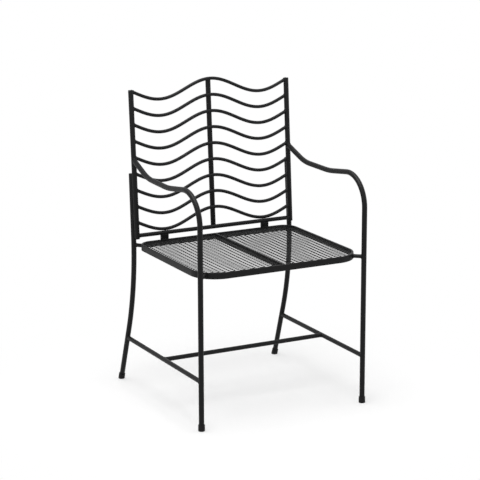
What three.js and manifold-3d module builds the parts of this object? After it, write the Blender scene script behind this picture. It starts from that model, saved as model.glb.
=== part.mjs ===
// Garden armchair of bent and welded steel rod, with a waved slat back and an expanded-metal seat.
// Units are millimetres. +Z is up, the chair faces -Y, and the origin is on the floor in the
// middle of the four feet. Places along Y are given from the seat's reference line, which lies
// a little in front of that origin.

import * as THREE from 'three';
import { mergeVertices } from 'three/addons/utils/BufferGeometryUtils.js';
import Module from 'manifold-3d';

const wasm = await Module();
wasm.setup();

// Rod and bar sizes
const frameRodDiameter = 15;
const slatRodDiameter = 10;
const railRodDiameter = 12;
const stretcherRodDiameter = 13;
const stubRodDiameter = 11;
const seatBarHeight = 18;
const seatBarThickness = 6;
const barEdgeChamfer = 0.8;

// Clearance that two welded or seated pieces keep, and how far a cutting shape runs past its cut
const seatGap = 0.3;
const overrun = 5;
const weldTolerance = 0.0001;

// Plan of the four legs, and how far the rear feet splay out past the front ones
const legHalfSpacing = 257;
const frontLegFromCentre = 248;
const rearFootSplay = 4;

// The side posts and the leaning back, which stands on its bottom rail over the seat
const postInsideLeg = 4.75;
const backLeanDegrees = 3.9;
const railAboveSeat = 20;
const postTopAboveSlatEnd = 3;
const postFootBelowRail = 10;

// The nine waved slats
const slatCount = 9;
const slatPitch = 47.2;
const slatWaveHeight = 24;
const slatWaveHalfLengthShare = 0.6385;

// The arm, as the corners that its bends round off
const armDipAboveSeat = 202.5;
const armFrontCornerAboveDip = 28;
const armRiseCornerAboveDip = 2;
const armEndAboveDip = 37.5;
const armDipShare = 0.455;
const armRiseShare = 0.774;
const armFrontBendRadius = 88;
const armDipBendRadius = 300;
const armRiseBendRadius = 170;

// The rear leg, which ends behind the post under the arm
const rearLegTopBelowArmEnd = 41;
const rearLegOutsidePost = 3;
const rearLegBendStartAboveSeat = 19;
const rearLegKickDegrees = 19;
const rearLegBendRadius = 740;

// The seat
const seatTopHeight = 441;
const seatInsideLeg = 4;
const seatAheadOfFrontLeg = 5;
const seatRearFromCentre = 174;
const seatFrontCornerRadius = 76;
const seatRearCornerRadius = 42;
const spacerWidth = 24;
const spacerThickness = 8;
const spacerFromTrough = 4;

// The expanded-metal panels
const meshSheetThickness = 1.5;
const meshBelowSeatTop = 3;
const meshRimWidth = 5;
const meshDiamondLength = 50;
const meshDiamondWidth = 32;
const meshStrandWidth = 3.2;
const smallestDiamondShare = 0.15;

// The stretchers
const stretcherHeight = 140;
const crossStretcherFromCentre = -14.5;

// The foot glides
const glideWall = 2;
const glideHeight = 18;
const glideFloorThickness = 4;
const glideEdgeChamfer = 1.5;

// Facets round a rod, and steps along its bends
const rodSides = 12;
const slatSides = 10;
const cutterSides = 20;
const slatSteps = 24;
const cornerSteps = 7;

// The black powder coat over steel, and the black plastic of the glides
const coatColour = 0x1a1b1d;
const coatRoughness = 0.45;
const coatMetalness = 0.35;
const plasticColour = 0x101112;
const plasticRoughness = 0.7;

const lean = THREE.MathUtils.degToRad(backLeanDegrees);
const kick = THREE.MathUtils.degToRad(rearLegKickDegrees);
const rodContact = frameRodDiameter + seatGap;
const postHalfSpacing = legHalfSpacing - postInsideLeg;
const seatHalfWidth = legHalfSpacing - seatInsideLeg;
const seatFrontFromCentre = frontLegFromCentre + seatAheadOfFrontLeg;
const glideDiameter = frameRodDiameter + 2 * glideWall;

// The bottom rail stands over the middle of the seat's rear bar
const backBaseHeight = seatTopHeight + railAboveSeat;
const backBaseFromCentre = seatRearFromCentre - seatBarThickness / 2;

// Heights of the arm's corners and of the rear leg's top
const armDipHeight = seatTopHeight + armDipAboveSeat;
const armFrontCornerHeight = armDipHeight + armFrontCornerAboveDip;
const armRiseHeight = armDipHeight + armRiseCornerAboveDip;
const armEndHeight = armDipHeight + armEndAboveDip;
const rearLegTopHeight = armEndHeight - rearLegTopBelowArmEnd;
const rearLegBendStartHeight = seatTopHeight + rearLegBendStartAboveSeat;

// The top slat's middle line over the bottom rail, with the ninth slat's troughs seated on the rail
const slatWaveHalfLength = slatWaveHalfLengthShare * postHalfSpacing;
const slatTopMiddle = (slatCount - 1) * slatPitch + slatWaveHeight + slatRodDiameter / 2
  + railRodDiameter / 2 + seatGap;
const sides = [['left', -1], ['right', 1]];

// A curve whose stations are evenly spread over its parameter, so that bends get the steps
class StationCurve extends THREE.Curve {
  getUtoTmapping(u) {
    return u;
  }
}

// A rod's centre line: straight runs between corners, each corner rounded by its bend radius
class BentRod extends StationCurve {
  constructor(corners, radii, stepsPerBend) {
    super();
    this.stations = [corners[0].clone()];
    for (let i = 1; i < corners.length - 1; i += 1) {
      this.addBend(corners[i - 1], corners[i], corners[i + 1], radii[i - 1], stepsPerBend[i - 1]);
    }
    this.stations.push(corners[corners.length - 1].clone());
  }

  addBend(before, corner, after, radius, steps) {
    const inward = corner.clone().sub(before).normalize();
    const outward = after.clone().sub(corner).normalize();
    const turn = inward.angleTo(outward);
    const start = corner.clone().addScaledVector(inward, -radius * Math.tan(turn / 2));
    const sideways = outward.clone().addScaledVector(inward, -outward.dot(inward)).normalize();
    for (let k = 0; k <= steps; k += 1) {
      const angle = (turn * k) / steps;
      const point = start.clone().addScaledVector(inward, radius * Math.sin(angle));
      this.stations.push(point.addScaledVector(sideways, radius * (1 - Math.cos(angle))));
    }
  }

  get steps() {
    return this.stations.length - 1;
  }

  getPoint(t, target = new THREE.Vector3()) {
    const place = Math.min(Math.max(t, 0), 1) * this.steps;
    const index = Math.min(Math.floor(place), this.steps - 1);
    return target.lerpVectors(this.stations[index], this.stations[index + 1], place - index);
  }
}

// Height of a slat at a place along it: a cosine wave that crests at the centre post
function slatHeight(x, middle) {
  return middle + slatWaveHeight * Math.cos((Math.PI * x) / slatWaveHalfLength);
}

const postTopAboveBase = slatHeight(postHalfSpacing, slatTopMiddle) + postTopAboveSlatEnd;

// A slat's centre line in the back's own plane
class SlatWave extends StationCurve {
  constructor(fromX, toX, middle) {
    super();
    this.fromX = fromX;
    this.toX = toX;
    this.middle = middle;
  }

  getPoint(t, target = new THREE.Vector3()) {
    const x = THREE.MathUtils.lerp(this.fromX, this.toX, t);
    return target.set(x, 0, slatHeight(x, this.middle));
  }
}

function roundSection(radius, sideCount) {
  const points = [];
  for (let i = 0; i < sideCount; i += 1) {
    const angle = (2 * Math.PI * i) / sideCount;
    points.push(new THREE.Vector2(radius * Math.cos(angle), radius * Math.sin(angle)));
  }
  return new THREE.Shape(points);
}

// A round rod swept along a curve
function rodAlong(curve, steps, diameter, sideCount) {
  const section = roundSection(diameter / 2, sideCount);
  return new THREE.ExtrudeGeometry(section, { steps, extrudePath: curve, bevelEnabled: false });
}

// A straight round rod between two points
function rodBetween(from, to, diameter, sideCount = rodSides) {
  return rodAlong(new THREE.LineCurve3(from, to), 1, diameter, sideCount);
}

// The same rod a little fatter, as the shape that copes a neighbour's end
function coperBetween(from, to, diameter) {
  return toSolid(rodBetween(from, to, diameter + 2 * seatGap, cutterSides));
}

// A closed surface as a solid that can be joined and cut
function toSolid(geometry) {
  const bare = geometry.clone();
  bare.deleteAttribute('normal');
  bare.deleteAttribute('uv');
  const welded = mergeVertices(bare, weldTolerance);
  return new wasm.Manifold(new wasm.Mesh({
    numProp: 3,
    vertProperties: new Float32Array(welded.attributes.position.array),
    triVerts: new Uint32Array(welded.index.array),
  }));
}

function toGeometry(solid) {
  const mesh = solid.getMesh();
  const geometry = new THREE.BufferGeometry();
  geometry.setAttribute('position', new THREE.BufferAttribute(new Float32Array(mesh.vertProperties), 3));
  geometry.setIndex(new THREE.BufferAttribute(new Uint32Array(mesh.triVerts), 1));
  return geometry;
}

// A piece less every shape that lies in its way
function cutBy(geometry, cutters) {
  return toGeometry(cutters.reduce((rest, cutter) => rest.subtract(cutter), toSolid(geometry)));
}

function coatedSteel() {
  return new THREE.MeshStandardMaterial({
    color: coatColour, roughness: coatRoughness, metalness: coatMetalness,
  });
}

function blackPlastic() {
  return new THREE.MeshStandardMaterial({
    color: plasticColour, roughness: plasticRoughness, metalness: 0,
  });
}

function addPiece(group, name, geometry, material = coatedSteel()) {
  const mesh = new THREE.Mesh(geometry, material);
  mesh.name = name;
  group.add(mesh);
  return mesh;
}

// Places on the chair
const chair = new THREE.Group();

// The back is drawn upright in its own frame, which then leans back about its bottom rail
const back = new THREE.Group();
back.position.set(0, backBaseFromCentre, backBaseHeight);
back.rotation.x = -lean;
chair.add(back);

// A post's distance from the middle of the chair at a height above the floor
function postFromCentre(height) {
  return backBaseFromCentre + (height - backBaseHeight) * Math.tan(lean);
}

// The rear leg's top run stands behind the post, a hair off it and a little outboard of it
const rearLegBehindPost = Math.sqrt(rodContact ** 2 - rearLegOutsidePost ** 2);

function rearLegFromCentre(height) {
  return postFromCentre(height) + rearLegBehindPost / Math.cos(lean);
}

// The rear leg's corner, where its upper line meets the line of the kicked-back foot
const rearLegTurn = kick + lean;
const rearLegCornerHeight = rearLegBendStartHeight
  - rearLegBendRadius * Math.tan(rearLegTurn / 2) * Math.cos(lean);
const rearFootFromCentre = rearLegFromCentre(rearLegCornerHeight) + rearLegCornerHeight * Math.tan(kick);
const rearFootHalfSpacing = legHalfSpacing + rearFootSplay;

// The rear leg splays evenly from its top to its foot
function rearLegOut(height) {
  const top = postHalfSpacing + rearLegOutsidePost;
  return THREE.MathUtils.lerp(rearFootHalfSpacing, top, height / rearLegTopHeight);
}

function kickedLegFromCentre(height) {
  return rearFootFromCentre - height * Math.tan(kick);
}

function rearLegLine(side) {
  const low = glideFloorThickness;
  const corner = rearLegCornerHeight;
  const top = rearLegTopHeight;
  const corners = [
    new THREE.Vector3(side * rearLegOut(low), kickedLegFromCentre(low), low),
    new THREE.Vector3(side * rearLegOut(corner), rearLegFromCentre(corner), corner),
    new THREE.Vector3(side * rearLegOut(top), rearLegFromCentre(top), top),
  ];
  return new BentRod(corners, [rearLegBendRadius], [2 * cornerSteps]);
}

// The arm toes in behind its dip, to end in the middle of the post's front
function frontLegAndArmLine(side) {
  const legX = side * legHalfSpacing;
  const postX = side * postHalfSpacing;
  const front = -frontLegFromCentre;
  const rear = postFromCentre(armEndHeight);
  const dip = THREE.MathUtils.lerp(front, rear, armDipShare);
  const rise = THREE.MathUtils.lerp(front, rear, armRiseShare);
  const corners = [
    new THREE.Vector3(legX, front, glideFloorThickness),
    new THREE.Vector3(legX, front, armFrontCornerHeight),
    new THREE.Vector3(legX, dip, armDipHeight),
    new THREE.Vector3((legX + postX) / 2, rise, armRiseHeight),
    new THREE.Vector3(postX, rear, armEndHeight),
  ];
  const radii = [armFrontBendRadius, armDipBendRadius, armRiseBendRadius];
  return new BentRod(corners, radii, [2 * cornerSteps, cornerSteps, cornerSteps]);
}

// The side frames
function addLegs() {
  for (const [word, side] of sides) {
    const front = frontLegAndArmLine(side);
    const rear = rearLegLine(side);
    const frontRod = rodAlong(front, front.steps, frameRodDiameter, rodSides);
    addPiece(chair, `front_leg_arm_${word}`, cutBy(frontRod, [leaningPostCoper(side)]));
    const glideFloor = floorSlab(rearFootFromCentre);
    const rearRod = rodAlong(rear, rear.steps, frameRodDiameter, rodSides);
    addPiece(chair, `rear_leg_${word}`, cutBy(rearRod, [glideFloor]));
  }
}

// A side post's coper where the post leans, for the pieces outside the back's own frame
function leaningPostCoper(side) {
  const reach = rearLegTopHeight + frontLegFromCentre;
  const x = side * postHalfSpacing;
  return coperBetween(
    new THREE.Vector3(x, postFromCentre(seatTopHeight), seatTopHeight),
    new THREE.Vector3(x, postFromCentre(reach), reach),
    frameRodDiameter,
  );
}

// The level under which the slanted rear foot is sawn off flat
function floorSlab(fromCentre) {
  const width = 2 * (legHalfSpacing + glideDiameter);
  const slab = new THREE.BoxGeometry(width, 2 * glideDiameter, glideHeight);
  slab.translate(0, fromCentre, glideFloorThickness + seatGap - glideHeight / 2);
  return toSolid(slab);
}

// The side posts, the centre post and the bottom rail, in the back's own frame
function postEnds(x, bottom, top) {
  return [new THREE.Vector3(x, 0, bottom), new THREE.Vector3(x, 0, top)];
}

function sidePostCoper(side) {
  const bottom = -postFootBelowRail - overrun;
  const ends = postEnds(side * postHalfSpacing, bottom, postTopAboveBase + overrun);
  return coperBetween(...ends, frameRodDiameter);
}

function addBackPosts() {
  for (const [word, side] of sides) {
    const ends = postEnds(side * postHalfSpacing, -postFootBelowRail, postTopAboveBase);
    addPiece(back, `back_post_${word}`, rodBetween(...ends, frameRodDiameter));
  }
}

function railEnds() {
  return [new THREE.Vector3(-postHalfSpacing, 0, 0), new THREE.Vector3(postHalfSpacing, 0, 0)];
}

function addBottomRail() {
  const copers = sides.map(([, side]) => sidePostCoper(side));
  addPiece(back, 'back_bottom_rail', cutBy(rodBetween(...railEnds(), railRodDiameter), copers));
}

// The centre post stands behind the slats, notched over the bottom rail that it is welded to
function addCentrePost() {
  const crest = slatTopMiddle + slatWaveHeight;
  const behind = (slatRodDiameter + frameRodDiameter) / 2 + seatGap;
  const post = rodBetween(...postEnds(0, -railRodDiameter / 2, crest), frameRodDiameter);
  post.translate(0, behind, 0);
  addPiece(back, 'back_centre_post', cutBy(post, [coperBetween(...railEnds(), railRodDiameter)]));
}

// The waved slats run over the whole width, in front of the centre post
function addSlats() {
  for (let number = 1; number <= slatCount; number += 1) {
    const middle = slatTopMiddle - (number - 1) * slatPitch;
    const wave = new SlatWave(-postHalfSpacing, postHalfSpacing, middle);
    const rod = rodAlong(wave, slatSteps, slatRodDiameter, slatSides);
    addPiece(back, `slat_${number}`, cutBy(rod, sides.map(([, side]) => sidePostCoper(side))));
  }
}

// The seat's outline in plan, drawn in from the hoop's outer face by an inset
function addCorner(points, centreX, centreY, radius, startAngle) {
  for (let k = 0; k <= cornerSteps; k += 1) {
    const angle = startAngle + (Math.PI / 2) * (k / cornerSteps);
    points.push(new THREE.Vector2(centreX + radius * Math.cos(angle), centreY + radius * Math.sin(angle)));
  }
}

function seatOutline(inset) {
  const points = [];
  const frontX = seatHalfWidth - seatFrontCornerRadius;
  const frontY = -seatFrontFromCentre + seatFrontCornerRadius;
  const rearX = seatHalfWidth - seatRearCornerRadius;
  const rearY = seatRearFromCentre - seatRearCornerRadius;
  addCorner(points, -frontX, frontY, seatFrontCornerRadius - inset, Math.PI);
  addCorner(points, frontX, frontY, seatFrontCornerRadius - inset, (3 * Math.PI) / 2);
  addCorner(points, rearX, rearY, seatRearCornerRadius - inset, 0);
  addCorner(points, -rearX, rearY, seatRearCornerRadius - inset, Math.PI / 2);
  return points;
}

// A flat bar's section edge is slightly broken, so the bar is extruded with a small chamfer
function uprightBar(shape) {
  const geometry = new THREE.ExtrudeGeometry(shape, {
    depth: seatBarHeight - 2 * barEdgeChamfer,
    bevelEnabled: true,
    bevelThickness: barEdgeChamfer,
    bevelSize: barEdgeChamfer,
    bevelOffset: -barEdgeChamfer,
    bevelSegments: 1,
  });
  return geometry.translate(0, 0, seatTopHeight - seatBarHeight + barEdgeChamfer);
}

function addSeatHoop() {
  const shape = new THREE.Shape(seatOutline(0));
  shape.holes.push(new THREE.Path(seatOutline(seatBarThickness)));
  addPiece(chair, 'seat_hoop', uprightBar(shape));
}

function addSeatCentreBar() {
  const halfThickness = seatBarThickness / 2;
  const front = -seatFrontFromCentre + seatBarThickness + seatGap;
  const rear = seatRearFromCentre - seatBarThickness - seatGap;
  const shape = new THREE.Shape([
    new THREE.Vector2(-halfThickness, front),
    new THREE.Vector2(halfThickness, front),
    new THREE.Vector2(halfThickness, rear),
    new THREE.Vector2(-halfThickness, rear),
  ]);
  addPiece(chair, 'seat_centre_bar', uprightBar(shape));
}

// A slab of the seat's inner outline on one side of the centre bar
function panelSlab(side, inset, thickness, bottom) {
  const points = seatOutline(seatBarThickness + inset);
  const slab = new THREE.ExtrudeGeometry(new THREE.Shape(points), { depth: thickness, bevelEnabled: false });
  slab.translate(0, 0, bottom);
  const depth = seatFrontFromCentre + seatRearFromCentre;
  const otherHalf = new THREE.BoxGeometry(2 * seatHalfWidth, 2 * depth, 2 * seatBarHeight);
  const edge = seatBarThickness / 2 + inset;
  otherHalf.translate(side * (edge - seatHalfWidth), 0, bottom);
  return toSolid(slab).subtract(toSolid(otherHalf));
}

// The diamond openings of the expanded sheet, staggered row by row
function diamondOpenings(side, bottom, thickness) {
  const halfLength = (meshDiamondLength - meshStrandWidth * (meshDiamondLength / meshDiamondWidth)) / 2;
  const halfWidth = halfLength * (meshDiamondWidth / meshDiamondLength);
  const openings = [];
  const rows = Math.ceil((seatFrontFromCentre + seatRearFromCentre) / (meshDiamondWidth / 2));
  const columns = Math.ceil(seatHalfWidth / meshDiamondLength) + 1;
  for (let row = 0; row <= rows; row += 1) {
    const y = -seatFrontFromCentre + row * (meshDiamondWidth / 2);
    const shift = row % 2 === 0 ? 0 : meshDiamondLength / 2;
    for (let column = 0; column <= columns; column += 1) {
      const x = side * (column * meshDiamondLength + shift);
      const shape = new THREE.Shape([
        new THREE.Vector2(x - halfLength, y),
        new THREE.Vector2(x, y - halfWidth),
        new THREE.Vector2(x + halfLength, y),
        new THREE.Vector2(x, y + halfWidth),
      ]);
      const opening = new THREE.ExtrudeGeometry(shape, { depth: thickness, bevelEnabled: false });
      openings.push(toSolid(opening.translate(0, 0, bottom)));
    }
  }
  return openings;
}

function addSeatMesh() {
  const top = seatTopHeight - meshBelowSeatTop;
  const bottom = top - meshSheetThickness;
  for (const [word, side] of sides) {
    const sheet = panelSlab(side, seatGap, meshSheetThickness, bottom);
    const cutHeight = meshSheetThickness + 2 * overrun;
    const window = panelSlab(side, seatGap + meshRimWidth, cutHeight, bottom - overrun);
    let net = sheet;
    for (const diamond of diamondOpenings(side, bottom - overrun, cutHeight)) {
      const opening = diamond.intersect(window);
      if (opening.volume() > smallestDiamondShare * diamond.volume()) {
        net = net.subtract(opening);
      }
    }
    addPiece(chair, `seat_mesh_${word}`, toGeometry(net));
  }
}

// The short rods from the hoop's round corners out to the legs
function stubSpots() {
  const frontX = seatHalfWidth - seatFrontCornerRadius;
  const frontY = -seatFrontFromCentre + seatFrontCornerRadius;
  const rearX = seatHalfWidth - seatRearCornerRadius;
  const rearY = seatRearFromCentre - seatRearCornerRadius;
  const height = seatTopHeight - seatBarHeight / 2;
  const frontLeg = [legHalfSpacing, -frontLegFromCentre];
  const rearLeg = [rearLegOut(height), rearLegFromCentre(height)];
  return [
    ['front', frontX, frontY, seatFrontCornerRadius, frontLeg, height],
    ['rear', rearX, rearY, seatRearCornerRadius, rearLeg, height],
  ];
}

function addSeatStubs() {
  for (const [word, side] of sides) {
    const rear = rearLegLine(side);
    const legCopers = {
      front: coperBetween(
        new THREE.Vector3(side * legHalfSpacing, -frontLegFromCentre, seatTopHeight - 2 * seatBarHeight),
        new THREE.Vector3(side * legHalfSpacing, -frontLegFromCentre, seatTopHeight + seatBarHeight),
        frameRodDiameter,
      ),
      rear: toSolid(rodAlong(rear, rear.steps, frameRodDiameter + 2 * seatGap, cutterSides)),
    };
    for (const [place, centreX, centreY, radius, [legX, legY], height] of stubSpots()) {
      const leg = new THREE.Vector3(side * legX, legY, height);
      const centre = new THREE.Vector3(side * centreX, centreY, height);
      const towardLeg = leg.clone().sub(centre).normalize();
      const start = centre.clone().addScaledVector(towardLeg, radius - seatBarThickness / 2);
      const stub = rodBetween(start, leg, stubRodDiameter);
      addPiece(chair, `seat_stub_${place}_${word}`, cutBy(stub, [legCopers[place], hoopCoper()]));
    }
  }
}

// The hoop's space and all that it encloses, a gap wider, to cope the stubs' inner ends
function hoopCoper() {
  const block = new THREE.ExtrudeGeometry(new THREE.Shape(seatOutline(-seatGap)), {
    depth: 2 * seatBarHeight,
    bevelEnabled: false,
  });
  const barMiddle = seatTopHeight - seatBarHeight / 2;
  return toSolid(block.translate(0, 0, barMiddle - seatBarHeight));
}

// The blocks between the seat's rear rail and the back's bottom rail
function addBackSpacers() {
  const railY = backBaseFromCentre;
  const railZ = backBaseHeight;
  const railCoper = coperBetween(
    new THREE.Vector3(-postHalfSpacing, railY, railZ),
    new THREE.Vector3(postHalfSpacing, railY, railZ),
    railRodDiameter,
  );
  const bottom = seatTopHeight + seatGap;
  const height = railZ - bottom;
  for (const [word, side] of sides) {
    const block = new THREE.BoxGeometry(spacerWidth, spacerThickness, height);
    block.translate(side * (slatWaveHalfLength + spacerFromTrough), railY, bottom + height / 2);
    addPiece(chair, `back_spacer_${word}`, cutBy(block, [railCoper]));
  }
}

// The stretchers between the legs
function sideStretcherEnds(side) {
  const height = stretcherHeight;
  return [
    new THREE.Vector3(side * legHalfSpacing, -frontLegFromCentre, height),
    new THREE.Vector3(side * rearLegOut(height), kickedLegFromCentre(height), height),
  ];
}

function addStretchers() {
  for (const [word, side] of sides) {
    const front = frontLegAndArmLine(side);
    const rear = rearLegLine(side);
    const rod = rodBetween(...sideStretcherEnds(side), stretcherRodDiameter);
    addPiece(chair, `side_stretcher_${word}`, cutBy(rod, [
      toSolid(rodAlong(front, front.steps, frameRodDiameter + 2 * seatGap, cutterSides)),
      toSolid(rodAlong(rear, rear.steps, frameRodDiameter + 2 * seatGap, cutterSides)),
    ]));
  }
  const cross = rodBetween(
    new THREE.Vector3(-legHalfSpacing, crossStretcherFromCentre, stretcherHeight),
    new THREE.Vector3(legHalfSpacing, crossStretcherFromCentre, stretcherHeight),
    stretcherRodDiameter,
  );
  const copers = sides.map(([, side]) => coperBetween(...sideStretcherEnds(side), stretcherRodDiameter));
  addPiece(chair, 'cross_stretcher', cutBy(cross, copers));
}

// The floor's own level, which saws the feet of the glides off flat
function belowFloor(fromCentre) {
  const width = 2 * (legHalfSpacing + glideDiameter);
  const slab = new THREE.BoxGeometry(width, 2 * glideDiameter, glideHeight);
  return toSolid(slab.translate(0, fromCentre, -glideHeight / 2));
}

// A glide is a turned cup with a chamfered rim, set in line with its leg and flat on the floor
function glideBody(tilt) {
  const radius = glideDiameter / 2;
  const edge = glideEdgeChamfer;
  const foot = -glideHeight / 2;
  const profile = [
    new THREE.Vector2(0, foot),
    new THREE.Vector2(radius, foot),
    new THREE.Vector2(radius, glideHeight - edge),
    new THREE.Vector2(radius - edge, glideHeight),
    new THREE.Vector2(0, glideHeight),
  ];
  return new THREE.LatheGeometry(profile, cutterSides).rotateX(Math.PI / 2 + tilt);
}

function addGlides() {
  for (const [word, side] of sides) {
    const spots = [
      ['front', frontLegAndArmLine(side), legHalfSpacing, -frontLegFromCentre, 0],
      ['rear', rearLegLine(side), rearFootHalfSpacing, rearFootFromCentre, kick],
    ];
    for (const [place, line, x, y, tilt] of spots) {
      const bore = toSolid(rodAlong(line, line.steps, frameRodDiameter + 2 * seatGap, cutterSides));
      const body = glideBody(tilt).translate(side * x, y, 0);
      addPiece(chair, `foot_glide_${place}_${word}`, cutBy(body, [bore, belowFloor(y)]), blackPlastic());
    }
  }
}

addLegs();
addBackPosts();
addCentrePost();
addBottomRail();
addSlats();
addSeatHoop();
addSeatCentreBar();
addSeatMesh();
addSeatStubs();
addBackSpacers();
addStretchers();
addGlides();

// The origin moves to the middle of the four feet
chair.position.y = (frontLegFromCentre - rearFootFromCentre) / 2;

export default chair;
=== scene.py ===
"""Looks of a black welded-steel garden armchair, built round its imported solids, in metres."""

import math

import bmesh
import bpy
from bpy.props import FloatProperty, FloatVectorProperty, IntProperty, PointerProperty
from bpy.types import Operator, Panel, PropertyGroup
from mathutils import Matrix, Vector


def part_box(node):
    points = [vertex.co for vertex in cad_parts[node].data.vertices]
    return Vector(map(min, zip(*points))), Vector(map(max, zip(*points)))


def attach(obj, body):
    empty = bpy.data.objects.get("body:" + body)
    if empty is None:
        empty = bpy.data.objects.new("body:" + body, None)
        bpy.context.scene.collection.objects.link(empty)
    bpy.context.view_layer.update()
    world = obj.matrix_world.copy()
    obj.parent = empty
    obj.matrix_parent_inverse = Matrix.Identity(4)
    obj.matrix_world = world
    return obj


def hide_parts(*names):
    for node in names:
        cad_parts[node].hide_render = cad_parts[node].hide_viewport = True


bl_info = {
    "name": "Garden armchair",
    "version": (1, 0, 0),
    "blender": (4, 5, 0),
    "location": "View3D > Sidebar > Armchair",
    "description": "Builds a welded steel garden armchair with a waved back and a mesh seat",
    "category": "Object",
}

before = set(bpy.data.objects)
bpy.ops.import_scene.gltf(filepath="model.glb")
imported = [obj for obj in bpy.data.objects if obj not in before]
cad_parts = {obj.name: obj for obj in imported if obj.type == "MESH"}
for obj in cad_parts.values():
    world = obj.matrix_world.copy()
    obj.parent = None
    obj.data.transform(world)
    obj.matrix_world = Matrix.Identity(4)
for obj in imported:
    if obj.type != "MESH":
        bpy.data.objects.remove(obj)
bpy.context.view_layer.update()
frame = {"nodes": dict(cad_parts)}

SIDES = (("left", -1), ("right", 1))
ACROSS, REARWARD, UP = Vector((1, 0, 0)), Vector((0, 1, 0)), Vector((0, 0, 1))
FULL_TURN = 2 * math.pi

# The front leg ahead of the seat's reference line, and that line's place in depth in the solids
FRONT_LEG_DEPTH = -0.248
FRAME_SHIFT = sum(corner[1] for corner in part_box("foot_glide_front_left")) / 2 - FRONT_LEG_DEPTH

# Gap that the solids leave between welded rods, and the reach of merging and of cutting
JOINT_GAP = 0.0003
MERGE_DISTANCE = 1e-6
CUT_DISTANCE = 1e-7

# How finely bends, corners, edges and welds are turned, and the angles that stay sharp
BEND_STEP = math.radians(3)
SLOW_BEND_STEP = math.radians(1.5)
SLAT_SIDES = 20
CORNER_STEPS = 24
TRIM_STEPS = 12
GLIDE_SIDES = 40
EDGE_STEPS = 3
RIPPLE_STEPS = 4
SOFT_EDGE = math.radians(35)
MESH_EDGE = math.radians(20)
WELD_EDGE = math.radians(80)

# Where the seams between a rear leg and its post lie, up the length that they share
LEG_SEAMS = (0.3, 0.62, 0.93)

# Where the first tack lies along the hoop's sides and along the centre bar, as a share of the spacing
FIRST_SIDE_TACK = 0.5
FIRST_BAR_TACK = 0.7

# Noise of the finishes: scale to a metre, detail, roughness, distortion
PEEL = (620.0, 2.0, 0.45, 0.0)
CLOUD = (38.0, 3.0, 0.55, 0.0)
SPECK = (2300.0, 1.0, 0.5, 0.0)
GRAIN = (1500.0, 3.0, 0.6, 0.0)
SCUFF = (160.0, 4.0, 0.65, 0.4)
MEAN_NOISE = 0.5

# Relief of the finishes: strength and distance
PEEL_RELIEF = (0.32, 0.00035)
GRAIN_RELIEF = (0.4, 0.0003)

# Powder coat: how far up a dusty face looks, the noise that shows dust and a thin coat, and their roughness
DUST_FACING = (0.35, 1.0)
DUST_PATCHES = (0.45, 0.75)
THIN_SPECKS = (0.62, 0.78)
THIN_PATCHES = (0.5, 0.8)
THIN_SHARE = 0.5
CLOUD_ROUGHNESS = 0.16
DUST_ROUGHNESS = 0.18

# Glide plastic: the height up to which it is worn, the noise that shows it, how pale and how rough it is
WORN_HEIGHT = (0.0005, 0.006)
WORN_PATCHES = (0.42, 0.7)
WORN_SHARE = 0.7
WORN_ROUGHNESS = 0.2
SCUFF_ROUGHNESS = 0.1

# Lamps: name, power setting, diameter, place
LAMPS = (
    ("overhead_lamp", "key_power", 2.0, (-0.35, -0.15, 3.0)),
    ("left_lamp", "fill_power", 1.6, (-2.6, -2.0, 1.9)),
    ("right_lamp", "fill_power", 1.6, (2.8, -1.4, 1.9)),
)

# The camera's sensor in millimetres, and how far it sees
SENSOR_WIDTH = 36
VIEW_DEPTH = 100


def amount(name, default, description, unit="NONE"):
    return FloatProperty(name=name, description=description, default=default, unit=unit)


def length(name, default, description):
    return amount(name, default, description, "LENGTH")


def share(name, default, description):
    return FloatProperty(
        name=name, description=description, default=default, subtype="FACTOR", min=0, max=1)


def angle(name, degrees, description):
    return FloatProperty(
        name=name, description=description, default=math.radians(degrees), subtype="ANGLE")


def count(name, default, description):
    return IntProperty(name=name, description=description, default=default, min=1)


def colour(name, default, description):
    return FloatVectorProperty(
        name=name, description=description, default=default, size=3, subtype="COLOR", min=0, max=1)


class RodSizes(PropertyGroup):
    """Thicknesses of the rods and bars."""

    frame: length("Frame rod", 0.015, "Diameter of legs, arms and posts")
    slat: length("Slat rod", 0.0097, "Diameter of the waved slats")
    rail: length("Rail rod", 0.012, "Diameter of the back's bottom rail")
    stretcher: length("Stretcher rod", 0.013, "Diameter of the stretchers")
    stub: length("Stub rod", 0.011, "Diameter of the seat's corner stubs")
    bar_height: length("Bar height", 0.018, "Height of the seat's flat bar")
    bar_thickness: length("Bar thickness", 0.006, "Thickness of the seat's flat bar")
    bar_rounding: length("Bar rounding", 0.0011, "Radius of the flat bar's edges")
    leg_rounding: length("Leg rounding", 0.0012, "Radius of the rim on a leg's sawn top")
    post_rounding: length("Post rounding", 0.0014, "Radius of the rims on a post's sawn ends")
    sides: count("Sides", 28, "Facets round a rod")


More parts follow.
